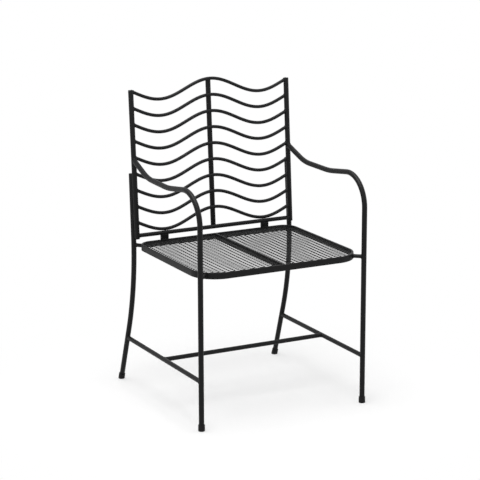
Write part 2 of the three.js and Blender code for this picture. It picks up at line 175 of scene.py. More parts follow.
class SideSizes(PropertyGroup):
    """Places and bends of the legs and arms."""

    front_leg_x: length("Front leg", 0.257, "Front leg from the middle plane")
    rear_foot_x: length("Rear foot", 0.261, "Rear foot from the middle plane")
    front_leg_y: length("Front leg depth", FRONT_LEG_DEPTH, "Front leg ahead of the reference line")
    leg_end: length("Rod end", 0.004, "Height of the rod's end in its foot glide")
    arm_corner_z: length("Arm front", 0.6715, "Height of the arm's front corner")
    arm_dip_z: length("Arm dip", 0.6435, "Height of the arm's dip")
    arm_rise_z: length("Arm rise", 0.6455, "Height where the arm starts to rise")
    arm_end_z: length("Arm end", 0.681, "Height of the arm's end on the post")
    arm_dip_share: share("Dip place", 0.455, "Place of the dip along the arm")
    arm_rise_share: share("Rise place", 0.774, "Place of the rise along the arm")
    arm_bends: FloatVectorProperty(
        name="Arm bends", description="Bend radii of the arm from front to rear",
        default=(0.088, 0.300, 0.170), size=3, unit="LENGTH")
    leg_top_z: length("Rear leg top", 0.640, "Height of the rear leg's top")
    leg_bend_z: length("Rear leg bend", 0.460, "Height where the rear leg starts to bend")
    leg_bend: length("Rear leg bend radius", 0.740, "Bend radius of the rear leg")
    leg_kick: angle("Rear leg kick", 19, "Angle of the kicked-back foot")
    leg_outside_post: length("Rear leg outside post", 0.003, "Rear leg outside its post")
    stretcher_z: length("Stretchers", 0.140, "Height of the stretchers")
    cross_y: length("Cross stretcher", -0.0145, "Cross stretcher in depth")


class BackSizes(PropertyGroup):
    """Places of the leaning back."""

    lean: angle("Lean", 3.9, "Angle of the back from upright")
    rail_z: length("Rail height", 0.461, "Height of the bottom rail")
    rail_y: length("Rail depth", 0.171, "Bottom rail behind the reference line")
    post_x: length("Post", 0.25225, "Side post from the middle plane")
    post_foot: length("Post foot", 0.010, "Post's foot below the rail")
    post_over_slat: length("Post over slat", 0.003, "Post's top over the top slat")
    slats: count("Slats", 9, "Number of waved slats")
    pitch: length("Slat pitch", 0.0472, "Distance between slats")
    wave: length("Wave height", 0.024, "Half of the wave's rise")
    half_wave: length("Half wave", 0.1610616, "Length from crest to trough")
    wave_steps: count("Wave steps", 96, "Steps along a slat")


class SeatSizes(PropertyGroup):
    """Places of the seat."""

    top: length("Seat height", 0.441, "Top of the hoop")
    half_width: length("Half width", 0.253, "Hoop's outside from the middle plane")
    front: length("Front", -0.253, "Hoop's front ahead of the reference line")
    rear: length("Rear", 0.174, "Hoop's rear behind the reference line")
    front_corner: length("Front corners", 0.076, "Outside radius of the front corners")
    rear_corner: length("Rear corners", 0.042, "Outside radius of the rear corners")
    mesh_below: length("Mesh below top", 0.003, "Mesh below the hoop's top")
    mesh_thickness: length("Mesh thickness", 0.0012, "Thickness of the expanded sheet")
    mesh_in_bar: share("Mesh edge", 0.75, "Place of the sheet's edge across the bar")
    diamond_length: length("Diamond length", 0.0305, "Long way of a diamond")
    diamond_width: length("Diamond width", 0.0127, "Short way of a diamond")
    strand: length("Strand", 0.0018, "Width of a strand")
    strand_tilt: angle("Strand tilt", 9, "Tilt of the openings' rims")
    spacer_x: length("Spacer", 0.1650616, "Spacer from the middle plane")
    spacer_width: length("Spacer width", 0.024, "Width of a spacer")
    spacer_thickness: length("Spacer thickness", 0.008, "Thickness of a spacer")


class GlideSizes(PropertyGroup):
    """The foot glides."""

    wall: length("Wall", 0.00198, "Wall round the leg")
    height: length("Height", 0.018, "Height of a glide")
    rim: length("Rim", 0.0012, "Radius of the glide's edges")
    groove: length("Groove", 0.0004, "Depth of the turned groove")
    groove_height: length("Groove place", 0.01314, "Height of the groove's middle")
    groove_mouth: length("Groove mouth", 0.00252, "Width of the groove at the skin")
    groove_floor: length("Groove floor", 0.00108, "Width of the groove at its bottom")
    sole: length("Sole", 0.00002, "Height at which the sole is cut flat")


class WeldSizes(PropertyGroup):
    """Beads, seams and tacks."""

    bead: length("Bead", 0.0034, "Thickness of a bead round a rod")
    bead_seat: share("Bead seat", 0.94, "Bead's place from a rod's middle to its skin")
    bead_steps: count("Bead steps", 56, "Steps round a bead")
    bead_ripples: count("Bead ripples", 14, "Ripples round a bead")
    ripple: share("Ripple", 0.06, "How far the ripples swell a weld")
    ripple_length: length("Ripple length", 0.0024, "Length of a ripple along a seam")
    sides: count("Sides", 10, "Facets round a weld")
    seam_end: share("Seam end", 0.3, "Thickness of a seam's end over its middle's")
    leg_seam: length("Leg seam", 0.020, "Length of a seam between rear leg and post")
    leg_seam_width: length("Leg seam width", 0.0048, "Thickness of a leg seam")
    leg_seam_out: length("Leg seam place", 0.0028, "Leg seam from the line where leg and post touch")
    slat_seam: length("Slat seam", 0.004, "Length of a seam at the centre post")
    slat_seam_width: length("Slat seam width", 0.0046, "Thickness of a slat seam")
    slat_seam_out: length("Slat seam place", 0.0035, "Slat seam from the middle plane")
    bar_seam: share("Bar seam", 0.85, "Length of the centre bar's seams over its height")
    spacer_seam: share("Spacer seam", 0.9, "Length of a spacer's seams over its width")
    bar_seam_width: length("Bar seam width", 0.0034, "Thickness of a seam on a flat bar")
    tack: length("Tack", 0.0062, "Length of a tack weld on the mesh")
    tack_width: length("Tack width", 0.0026, "Thickness of a tack weld")
    tack_spacing: length("Tack spacing", 0.052, "Distance between tack welds")
    side_tacks: count("Side tacks", 6, "Tacks along each side of the hoop")
    end_tacks: count("End tacks", 3, "Tacks along half of the hoop's front or rear")
    bar_tacks: count("Bar tacks", 7, "Tacks along each side of the centre bar")


class FinishColours(PropertyGroup):
    """Colours and gloss of the coat and the plastic."""

    coat: colour("Coat", (0.0036, 0.0037, 0.0040), "Colour of the powder coat")
    coat_thin: colour("Thin coat", (0.0135, 0.0137, 0.0140), "Colour where the coat is thin or dusty")
    coat_roughness: share("Coat roughness", 0.46, "Roughness of the satin coat")
    plastic: colour("Plastic", (0.0055, 0.0055, 0.0058), "Colour of the foot glides")
    plastic_worn: colour("Worn plastic", (0.05, 0.048, 0.045), "Colour of the glides where they rub")
    plastic_roughness: share("Plastic roughness", 0.6, "Roughness of the glides")


class StageSettings(PropertyGroup):
    """Camera, floor and lamps."""

    camera_aim: FloatVectorProperty(
        name="Camera aim", description="Place that the camera looks at",
        default=(-0.0051, -0.0138, 0.4560), size=3, unit="LENGTH")
    camera_distance: length("Camera distance", 5.1606, "Camera from its aim")
    camera_turn: angle("Camera turn", 27.6, "Camera's turn round the chair")
    camera_fall: angle("Camera fall", 13.7, "How far the camera looks down")
    camera_roll: angle("Camera roll", -0.15, "Camera's roll about its own view")
    lens: amount("Lens", 135.0, "Focal length in millimetres")
    floor_size: length("Floor", 24.0, "Side of the floor")
    floor_sink: length("Floor sink", 0.0004, "Floor's place under the feet")
    floor_tone: share("Floor tone", 0.9, "Grey of the floor in the lamps' light")
    floor_white: share("Floor white", 0.48, "Plain white that the camera sees in the floor")
    shadow_core: length("Shadow core", 0.323, "Where the floor starts to whiten")
    shadow_reach: length("Shadow reach", 0.85, "Where the floor is plain white")
    lamp_aim: length("Lamp aim", 0.4, "Height that the lamps point at")
    key_power: amount("Key lamp", 75.0, "Power of the key lamp", "POWER")
    fill_power: amount("Fill lamps", 14.0, "Power of a fill lamp", "POWER")
    world_light: amount("World light", 0.40, "Strength of the world's light")


class ArmchairSettings(PropertyGroup):
    """Everything a user may change."""

    rods: PointerProperty(type=RodSizes)
    side: PointerProperty(type=SideSizes)
    back: PointerProperty(type=BackSizes)
    seat: PointerProperty(type=SeatSizes)
    glide: PointerProperty(type=GlideSizes)
    weld: PointerProperty(type=WeldSizes)
    finish: PointerProperty(type=FinishColours)
    stage: PointerProperty(type=StageSettings)


GROUPS = (RodSizes, SideSizes, BackSizes, SeatSizes, GlideSizes, WeldSizes, FinishColours, StageSettings)


def settings():
    return bpy.context.scene.armchair


def sizes(*names):
    return [getattr(settings(), name) for name in names]


# Places on the chair

def place(x, y, z):
    """A place given from the seat's reference line, in the solids' frame."""
    return Vector((x, y + FRAME_SHIFT, z))


def back_place(x, height, behind=0.0):
    """A place in the leaning back: across, up its plane from the rail, and behind the plane."""
    back = settings().back
    up = Vector((0, math.sin(back.lean), math.cos(back.lean)))
    rearward = Vector((0, math.cos(back.lean), -math.sin(back.lean)))
    return place(x, back.rail_y, back.rail_z) + up * height + rearward * behind


def back_up():
    return (back_place(0, 1) - back_place(0, 0)).normalized()


def post_depth(height):
    back = settings().back
    return back.rail_y + (height - back.rail_z) * math.tan(back.lean)


def slat_middle(number):
    """Height of a slat's middle line over the rail; slat 1 is the top one."""
    back, rods = sizes("back", "rods")
    lowest = back.wave + rods.slat / 2 + rods.rail / 2 + JOINT_GAP
    return lowest + (back.slats - number) * back.pitch


def slat_height(x, middle):
    back = settings().back
    return middle + back.wave * math.cos(math.pi * x / back.half_wave)


def post_top():
    back = settings().back
    return slat_height(back.post_x, slat_middle(1)) + back.post_over_slat


def rear_leg_depth(height):
    """The rear leg's upper line, a hair behind the post and a little outside it."""
    rods, side = sizes("rods", "side")
    behind = math.sqrt((rods.frame + JOINT_GAP) ** 2 - side.leg_outside_post ** 2)
    return post_depth(height) + behind / math.cos(settings().back.lean)


def rear_leg_corner():
    """Height where the rear leg's upper line meets its kicked-back line."""
    side, back = sizes("side", "back")
    turn = side.leg_kick + back.lean
    return side.leg_bend_z - side.leg_bend * math.tan(turn / 2) * math.cos(back.lean)


def kicked_leg_depth(height):
    corner = rear_leg_corner()
    return rear_leg_depth(corner) + (corner - height) * math.tan(settings().side.leg_kick)


def rear_leg_out(height):
    side = settings().side
    top = settings().back.post_x + side.leg_outside_post
    return side.rear_foot_x + (top - side.rear_foot_x) * height / side.leg_top_z


def arm_corners(sign):
    side, back = sizes("side", "back")
    front, rear = side.front_leg_y, post_depth(side.arm_end_z)
    dip = front + (rear - front) * side.arm_dip_share
    rise = front + (rear - front) * side.arm_rise_share
    leg_x, post_x = side.front_leg_x, back.post_x
    return [
        place(sign * leg_x, front, side.leg_end),
        place(sign * leg_x, front, side.arm_corner_z),
        place(sign * leg_x, dip, side.arm_dip_z),
        place(sign * (leg_x + post_x) / 2, rise, side.arm_rise_z),
        place(sign * post_x, rear, side.arm_end_z),
    ]


def rear_leg_corners(sign):
    side = settings().side
    low, corner, top = side.leg_end, rear_leg_corner(), side.leg_top_z
    return [
        place(sign * rear_leg_out(low), kicked_leg_depth(low), low),
        place(sign * rear_leg_out(corner), rear_leg_depth(corner), corner),
        place(sign * rear_leg_out(top), rear_leg_depth(top), top),
    ]


def stub_ends(where, sign):
    """A corner stub's ends: inside the hoop's bar and in the middle of the leg."""
    side, seat, rods = sizes("side", "seat", "rods")
    height = seat.top - rods.bar_height / 2
    if where == "front":
        radius, depth = seat.front_corner, seat.front + seat.front_corner
        leg = place(sign * side.front_leg_x, side.front_leg_y, height)
    else:
        radius, depth = seat.rear_corner, seat.rear - seat.rear_corner
        leg = place(sign * rear_leg_out(height), rear_leg_depth(height), height)
    centre = place(sign * (seat.half_width - radius), depth, height)
    toward = (leg - centre).normalized()
    return centre + toward * (radius - rods.bar_thickness / 2), leg


def side_stretcher_ends(sign):
    side = settings().side
    height = side.stretcher_z
    return (
        place(sign * side.front_leg_x, side.front_leg_y, height),
        place(sign * rear_leg_out(height), kicked_leg_depth(height), height),
    )


# Mesh making

def verts_of(made):
    return [item for item in made if isinstance(item, bmesh.types.BMVert)]


def edges_of(made):
    return [item for item in made if isinstance(item, bmesh.types.BMEdge)]


def everything(mesh):
    return list(mesh.verts) + list(mesh.edges) + list(mesh.faces)


def cut_away(mesh, point, outward):
    """Cuts off all that lies beyond a plane, and returns the edges of the cut."""
    made = bmesh.ops.bisect_plane(
        mesh, geom=everything(mesh), dist=CUT_DISTANCE, plane_co=point, plane_no=outward,
        clear_outer=True)
    return edges_of(made["geom_cut"])


def round_off(mesh, geom, radius, affect="EDGES"):
    bmesh.ops.bevel(
        mesh, geom=geom, offset=radius, affect=affect, segments=EDGE_STEPS, profile=0.5, material=-1)


def start_ring(mesh, centre, direction, radius, sides):
    """A circle of edges across a direction."""
    turn = direction.to_track_quat("Z", "Y").to_matrix().to_4x4()
    verts = bmesh.ops.create_circle(
        mesh, segments=sides, radius=radius, matrix=Matrix.Translation(centre) @ turn)["verts"]
    return verts, list({edge for vert in verts for edge in vert.link_edges})


def push(mesh, ring, move, turn=None, centre=None):
    """Extrudes a ring by a move, and turns it about a centre if a turn is given."""
    made = bmesh.ops.extrude_edge_only(mesh, edges=ring[1])["geom"]
    verts = verts_of(made)
    known = set(verts)
    edges = [edge for edge in edges_of(made) if all(vert in known for vert in edge.verts)]
    if turn is not None:
        bmesh.ops.rotate(mesh, verts=verts, cent=centre, matrix=turn)
    bmesh.ops.translate(mesh, verts=verts, vec=move)
    return verts, edges


def turn_ring(mesh, ring, centre, axis, turn, steps):
    """Spins a ring round an axis and returns the last ring."""
    made = bmesh.ops.spin(
        mesh, geom=ring[0] + ring[1], cent=centre, axis=axis, angle=turn, steps=steps,
        use_merge=False, use_duplicate=False)["geom_last"]
    return verts_of(made), edges_of(made)


def close_end(mesh, ring, rounding=0.0):
    """Closes a rod's end and rounds its rim."""
    bmesh.ops.contextual_create(mesh, geom=ring[1])
    if rounding:
        round_off(mesh, ring[1], rounding)


def rod_piece(node, corners, thickness, bends=(), rounding=0.0, step=BEND_STEP):
    """A round rod that stands for a node, through corners that are each rounded by a bend radius."""
    mesh = bmesh.new()
    here = corners[0]
    first = start_ring(mesh, here, corners[1] - here, thickness / 2, settings().rods.sides)
    ring = first
    for before, corner, after, bend in zip(corners, corners[1:], corners[2:], bends):
        inward = (corner - before).normalized()
        outward = (after - corner).normalized()
        turn = inward.angle(outward)
        tangent = bend * math.tan(turn / 2)
        start = corner - inward * tangent
        ring = push(mesh, ring, start - here)
        sideways = (outward - inward * outward.dot(inward)).normalized()
        axis = inward.cross(outward).normalized()
        steps = max(3, math.ceil(turn / step))
        ring = turn_ring(mesh, ring, start + sideways * bend, axis, turn, steps)
        here = corner + outward * tangent
    last = push(mesh, ring, corners[-1] - here)
    close_end(mesh, first, rounding)
    close_end(mesh, last, rounding)
    finish_piece(mesh, f"{node}_rod", [node], "coated_rod")


def curved_rod(mesh, stations, thickness, sides, closed=False, swell=None):
    """A rod pushed from station to station; a closed one is bridged to its start."""
    number = len(stations)
    ahead = []
    for i in range(number):
        before, after = (i - 1, (i + 1) % number) if closed else (max(i - 1, 0), min(i + 1, number - 1))
        ahead.append(stations[after] - stations[before])
    rings = [start_ring(mesh, stations[0], ahead[0], thickness / 2, sides)]
    for i in range(1, number):
        turn = ahead[i - 1].rotation_difference(ahead[i]).to_matrix()
        rings.append(push(mesh, rings[-1], stations[i] - stations[i - 1], turn, stations[i - 1]))
    for station, (verts, _edges), factor in zip(stations, rings, swell or []):
        bmesh.ops.scale(mesh, verts=verts, vec=(factor,) * 3, space=Matrix.Translation(-station))
    if closed:
        bmesh.ops.bridge_loops(mesh, edges=rings[0][1] + rings[-1][1])
    else:
        close_end(mesh, rings[0])
        close_end(mesh, rings[-1])


def new_object(mesh, name, coat):
    """Makes an object of a bmesh, with its origin at the scene's."""
    data = bpy.data.meshes.new(name)
    mesh.to_mesh(data)
    mesh.free()
    data.materials.append(material(coat))
    made = bpy.data.objects.new(name, data)
    bpy.context.scene.collection.objects.link(made)
    return made


def finish_piece(mesh, name, nodes, slot, coat=None, edge=SOFT_EDGE):
    """Makes a piece of a finished bmesh, riding on the chair."""
    bmesh.ops.remove_doubles(mesh, verts=mesh.verts, dist=MERGE_DISTANCE)
    bmesh.ops.recalc_face_normals(mesh, faces=mesh.faces)
    piece = new_object(mesh, name, coat or slot)
    piece.data.shade_smooth()
    piece.data.set_sharp_from_angle(angle=edge)
    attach(piece, "root")
    if nodes:
        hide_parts(*nodes)


# Shader making

class Wire:
    """A socket of a node; Python's operators work on its number through Math nodes."""

    def __init__(self, shader, socket):
        self.shader = shader
        self.socket = socket

    def math(self, operation, *values):
        return self.shader.node("Math", {"operation": operation}, dict(enumerate(values)))

    def __add__(self, other):
        return self.math("ADD", self, other)

    def __radd__(self, other):
        return self.math("ADD", other, self)

    def __sub__(self, other):
        return self.math("SUBTRACT", self, other)

    def __rsub__(self, other):
        return self.math("SUBTRACT", other, self)

    def __mul__(self, other):
        return self.math("MULTIPLY", self, other)

    def __rmul__(self, other):
        return self.math("MULTIPLY", other, self)

    def clamp(self):
        return self.shader.node("Clamp", {}, {"Value": self})

    def spread(self, low, high):
        """0 at low, 1 at high, smooth between."""
        return self.shader.node(
            "MapRange", {"interpolation_type": "SMOOTHSTEP"},
            {"Value": self, "From Min": low, "From Max": high})


class Shader:
    """The node tree of a material or of the world."""

    def __init__(self, owner):
        owner.use_nodes = True
        self.tree = owner.node_tree
        self.tree.nodes.clear()

    def node(self, kind, options, sockets, output=0):
        """Adds a node, sets its options, fills its sockets and gives one of its outputs."""
        node = self.tree.nodes.new(f"ShaderNode{kind}")
        for key, value in options.items():
            setattr(node, key, value)
        for key, value in sockets.items():
            if isinstance(key, int):
                socket = node.inputs[key]
            else:
                socket = next(s for s in node.inputs if key in (s.identifier, s.name) and s.enabled)
            if isinstance(value, Wire):
                self.tree.links.new(value.socket, socket)
            else:
                socket.default_value = value
        return Wire(self, node.outputs[output]) if node.outputs else None

    def mix(self, factor, low, high):
        return self.node(
            "Mix", {"data_type": "RGBA"},
            {"Factor_Float": factor, "A_Color": rgba(low), "B_Color": rgba(high)}, output=2)

    def place(self):
        return self.node("TexCoord", {}, {}, output="Object")

    def height(self, vector):
        return self.node("SeparateXYZ", {}, {"Vector": vector}, output="Z")

    def noise(self, pattern, finer=1.0):
        scale, detail, roughness, distortion = pattern
        return self.node(
            "TexNoise", {},
            {"Vector": self.place(), "Scale": scale * finer, "Detail": detail, "Roughness": roughness,
             "Distortion": distortion})

    def bump(self, strength, distance, height):
        return self.node(
            "Bump", {}, {"Strength": strength, "Distance": distance, "Height": height},
            output="Normal")

    def surface(self, colour, roughness, normal, ior, specular):
        """The principled surface of a black finish, on the material's output."""
        surface = self.node(
            "BsdfPrincipled", {},
            {"Base Color": colour, "Roughness": roughness, "Metallic": 0.0, "IOR": ior,
             "Specular IOR Level": specular, "Normal": normal})
        self.finish("OutputMaterial", surface)

    def white_to_camera(self, share):
        """The share of white where a camera, glossy or transmission ray looks, and none elsewhere."""
        seen = [
            self.node("LightPath", {}, {}, output=f"Is {ray} Ray")
            for ray in ("Camera", "Glossy", "Transmission")]
        return (seen[0] + seen[1] + seen[2]).clamp() * share

    def finish(self, kind, surface):
        self.node(kind, {"is_active_output": True}, {"Surface": surface})


def rgba(colour):
    return (*colour, 1.0)


WHITE = (1.0, 1.0, 1.0, 1.0)


def powder_coat(shader, grain, wear):
    """Satin black powder coat: fine orange peel, uneven gloss, and a little dust from above."""
    finish = settings().finish
    peel, cloud, speck = shader.noise(PEEL, grain), shader.noise(CLOUD), shader.noise(SPECK)
    upward = shader.height(shader.node("NewGeometry", {}, {}, output="Normal")).spread(*DUST_FACING)
    dust = upward * cloud.spread(*DUST_PATCHES) * wear
    thin = speck.spread(*THIN_SPECKS) * cloud.spread(*THIN_PATCHES) * (wear * THIN_SHARE)
    tone = (dust + thin).clamp()
    uneven = finish.coat_roughness + (cloud - MEAN_NOISE) * CLOUD_ROUGHNESS
    roughness = (uneven + tone * DUST_ROUGHNESS).clamp()
    tint = shader.mix(tone, finish.coat, finish.coat_thin)
    shader.surface(tint, roughness, shader.bump(*PEEL_RELIEF, peel), ior=1.5, specular=0.17)


def glide_plastic(shader):
    """Black moulded plastic with a fine spark-eroded grain, rubbed pale at the floor."""
    finish = settings().finish
    grain, scuff = shader.noise(GRAIN), shader.noise(SCUFF)
    low = 1 - shader.height(shader.place()).spread(*WORN_HEIGHT)
    worn = (low * scuff.spread(*WORN_PATCHES)).clamp()
    rubbed = finish.plastic_roughness + worn * WORN_ROUGHNESS
    roughness = (rubbed + (scuff - MEAN_NOISE) * SCUFF_ROUGHNESS).clamp()
    tint = shader.mix(worn * WORN_SHARE, finish.plastic, finish.plastic_worn)
    shader.surface(tint, roughness, shader.bump(*GRAIN_RELIEF, grain), ior=1.46, specular=0.2)


def studio_floor(shader):
    """Pale floor that the camera sees nearly white, with the chair's shadow kept faint."""
    stage = settings().stage
    diffuse = shader.node("BsdfDiffuse", {}, {"Color": rgba((stage.floor_tone,) * 3)})
    white = shader.node("Emission", {}, {"Color": WHITE, "Strength": 1.0})
    out = shader.node("VectorMath", {"operation": "LENGTH"}, {0: shader.place()}, output="Value")
    far = out.spread(stage.shadow_core, stage.shadow_reach)
    share = shader.white_to_camera(stage.floor_white + far * (1 - stage.floor_white))
    shader.finish(
        "OutputMaterial", shader.node("MixShader", {}, {0: share, 1: diffuse, 2: white}))


def studio_world(shader):
    """White to the camera and in reflections, a soft plain light on the chair."""
    soft, white = (
        shader.node("Background", {}, {"Color": WHITE, "Strength": strength})
        for strength in (settings().stage.world_light, 1.0))
    share = shader.white_to_camera(1.0)
    shader.finish(
        "OutputWorld", shader.node("MixShader", {}, {0: share, 1: soft, 2: white}))


# Each material's maker, with the grain and the wear of a coat
MATERIALS = {
    "coated_rod": (powder_coat, 1.0, 0.55),
    "coated_flat_bar": (powder_coat, 1.0, 0.6),
    "coated_mesh": (powder_coat, 1.4, 0.7),
    "coated_weld": (powder_coat, 1.8, 0.9),
    "glide_plastic": (glide_plastic,),
    "studio_floor": (studio_floor,),
}


_made = {}


def material(name):
    """A material by its name, made when it is first asked for."""
    if name not in _made:
        maker, *values = MATERIALS[name]
        _made[name] = bpy.data.materials.new(name)
        maker(Shader(_made[name]), *values)
    return _made[name]


# Operators, one for each group of like pieces

class BuildSideFrames(Operator):
    """Build the front legs with their arms, and the rear legs."""

    bl_idname = "armchair.side_frames"
    bl_label = "Legs and arms"

    def execute(self, _context):
        rods, side = sizes("rods", "side")
        for word, sign in SIDES:
            rod_piece(f"front_leg_arm_{word}", arm_corners(sign), rods.frame, side.arm_bends)
            rod_piece(
                f"rear_leg_{word}", rear_leg_corners(sign), rods.frame, [side.leg_bend],
                rods.leg_rounding, SLOW_BEND_STEP)
        return {"FINISHED"}


class BuildBackPosts(Operator):
    """Build the side posts, the centre post and the bottom rail."""

    bl_idname = "armchair.back_posts"
    bl_label = "Back posts and rail"

    def execute(self, _context):
        rods, back = sizes("rods", "back")
        behind = (rods.slat + rods.frame) / 2 + JOINT_GAP
        crest = slat_height(0, slat_middle(1))
        posts = [("back_centre_post", 0, -rods.rail / 2, crest, behind)]
        for word, sign in SIDES:
            posts.append((f"back_post_{word}", sign * back.post_x, -back.post_foot, post_top(), 0))
        for node, x, low, high, depth in posts:
            ends = [back_place(x, low, depth), back_place(x, high, depth)]
            rod_piece(node, ends, rods.frame, rounding=rods.post_rounding)
        ends = [back_place(sign * back.post_x, 0) for _word, sign in SIDES]
        rod_piece("back_bottom_rail", ends, rods.rail)
        return {"FINISHED"}


class BuildSlats(Operator):
    """Build the waved slats."""

    bl_idname = "armchair.slats"
    bl_label = "Waved slats"

    def execute(self, _context):
        rods, back = sizes("rods", "back")
        for number in range(1, back.slats + 1):
            middle = slat_middle(number)
            stations = []
            for i in range(back.wave_steps + 1):
                x = back.post_x * (2 * i / back.wave_steps - 1)
                stations.append(back_place(x, slat_height(x, middle)))
            mesh = bmesh.new()
            curved_rod(mesh, stations, rods.slat, SLAT_SIDES)
            node = f"slat_{number}"
            finish_piece(mesh, f"{node}_rod", [node], "coated_rod")
        return {"FINISHED"}


class BuildSeatFrame(Operator):
    """Build the hoop of bent flat bar and the centre bar."""

    bl_idname = "armchair.seat_frame"
    bl_label = "Seat hoop and centre bar"

    def execute(self, _context):
        self.hoop()
        self.centre_bar()
        return {"FINISHED"}

    def section(self, mesh, centre, along):
        """A flat bar's rounded section, across its way."""
        rods = settings().rods
        across = along.cross(UP).normalized()
        section = bmesh.ops.create_grid(mesh, x_segments=1, y_segments=1, size=0.5)["verts"]
        face = section[0].link_faces[0]
        bmesh.ops.scale(mesh, verts=section, vec=(rods.bar_thickness, rods.bar_height, 1))
        bmesh.ops.delete(mesh, geom=[face], context="FACES_ONLY")
        round_off(mesh, section, rods.bar_rounding, "VERTICES")
        turn = Matrix((across, UP, across.cross(UP))).transposed().to_4x4()
        verts = list(mesh.verts)
        bmesh.ops.transform(mesh, matrix=Matrix.Translation(centre) @ turn, verts=verts)
        return verts, list(mesh.edges)

    def hoop(self):
        """The bar runs down the left side, round the front and back again."""
        rods, seat = sizes("rods", "seat")
        half = rods.bar_thickness / 2
        height = seat.top - rods.bar_height / 2
        first = here = place(-seat.half_width + half, 0, height)
        mesh = bmesh.new()
        ring = self.section(mesh, here, -REARWARD)
        corners = [
            (-1, seat.front + seat.front_corner, seat.front_corner, -REARWARD),
            (1, seat.front + seat.front_corner, seat.front_corner, ACROSS),
            (1, seat.rear - seat.rear_corner, seat.rear_corner, REARWARD),
            (-1, seat.rear - seat.rear_corner, seat.rear_corner, -ACROSS),
        ]
        for sign, depth, radius, along in corners:
            centre = place(sign * (seat.half_width - radius), depth, height)
            start = centre + along.cross(UP) * (radius - half)
            ring = push(mesh, ring, start - here)
            ring = turn_ring(mesh, ring, centre, UP, FULL_TURN / 4, CORNER_STEPS)
            here = centre + along * (radius - half)
        push(mesh, ring, first - here)
        finish_piece(mesh, "seat_hoop_bar", ["seat_hoop"], "coated_flat_bar")

    def centre_bar(self):
        rods, seat = sizes("rods", "seat")
        start = place(0, seat.front + rods.bar_thickness / 2, seat.top - rods.bar_height / 2)
        mesh = bmesh.new()
        ring = self.section(mesh, start, REARWARD)
        push(mesh, ring, REARWARD * (seat.rear - seat.front - rods.bar_thickness))
        bmesh.ops.holes_fill(mesh, edges=mesh.edges)
        finish_piece(mesh, "seat_centre_flat_bar", ["seat_centre_bar"], "coated_flat_bar")


class BuildSeatMesh(Operator):
    """Build the two panels of fine expanded metal inside the hoop."""

    bl_idname = "armchair.seat_mesh"
    bl_label = "Expanded-metal seat"

    def execute(self, _context):
        for word, sign in SIDES:
            mesh = bmesh.new()
            self.sheet(mesh)
            self.trim(mesh)
            self.thicken(mesh)
            if sign < 0:
                bmesh.ops.scale(mesh, verts=mesh.verts, vec=(-1, 1, 1))
                bmesh.ops.reverse_faces(mesh, faces=mesh.faces)
            node = f"seat_mesh_{word}"
            finish_piece(mesh, f"{node}_expanded", [node], "coated_mesh", edge=MESH_EDGE)
        return {"FINISHED"}

    def cell(self, mesh):
        """One diamond's rim, tilted as the stretched strands are."""
        seat = settings().seat
        verts = bmesh.ops.create_circle(mesh, cap_ends=True, segments=4, radius=0.5)["verts"]
        bmesh.ops.scale(mesh, verts=verts, vec=(seat.diamond_length, seat.diamond_width, 1))
        rim = bmesh.ops.inset_region(
            mesh, faces=list(mesh.faces), thickness=seat.strand / 2, use_even_offset=True,
            use_boundary=True)["faces"]
        inner = [face for face in mesh.faces if face not in set(rim)]
        verts = list({vert for face in inner for vert in face.verts})
        tilt = Matrix.Rotation(seat.strand_tilt, 3, "X")
        bmesh.ops.rotate(mesh, verts=verts, cent=(0, 0, 0), matrix=tilt)
        bmesh.ops.delete(mesh, geom=inner, context="FACES_ONLY")

    def repeat(self, mesh, step, times):
        """Copies all that is there, step after step."""
        there = everything(mesh)
        for i in range(1, times):
            made = bmesh.ops.duplicate(mesh, geom=there)["geom"]
            bmesh.ops.translate(mesh, verts=verts_of(made), vec=step * i)

    def sheet(self, mesh):
        """The right half's sheet of staggered diamonds, larger than the seat."""
        seat = settings().seat
        long_way, short_way = seat.diamond_length, seat.diamond_width
        self.cell(mesh)
        self.repeat(mesh, Vector((long_way / 2, short_way / 2, 0)), 2)
        self.repeat(mesh, ACROSS * long_way, math.ceil(seat.half_width / long_way) + 2)
        self.repeat(mesh, REARWARD * short_way, math.ceil((seat.rear - seat.front) / short_way) + 2)
        bmesh.ops.remove_doubles(mesh, verts=mesh.verts, dist=10 * MERGE_DISTANCE)
        start = place(-long_way / 2, seat.front - short_way / 2, seat.top - seat.mesh_below)
        bmesh.ops.translate(mesh, verts=mesh.verts, vec=start)

    def trim(self, mesh):
        """Cuts the sheet in the middle of the hoop's bar and of the centre bar."""
        seat = settings().seat
        inset = settings().rods.bar_thickness * seat.mesh_in_bar
        cut_away(mesh, place(inset / 2, 0, 0), -ACROSS)
        corners = [
            (seat.front + seat.front_corner, seat.front_corner, -FULL_TURN / 4),
            (seat.rear - seat.rear_corner, seat.rear_corner, 0),
        ]
        for depth, radius, first in corners:
            centre = place(seat.half_width - radius, depth, 0)
            for i in range(TRIM_STEPS + 1):
                turn = first + FULL_TURN / 4 * i / TRIM_STEPS
                outward = Vector((math.cos(turn), math.sin(turn), 0))
                cut_away(mesh, centre + outward * (radius - inset), outward)

    def thicken(self, mesh):
        """Gives the sheet its thickness, downwards."""
        made = bmesh.ops.extrude_face_region(mesh, geom=list(mesh.faces))["geom"]
        bmesh.ops.translate(mesh, verts=verts_of(made), vec=-UP * settings().seat.mesh_thickness)


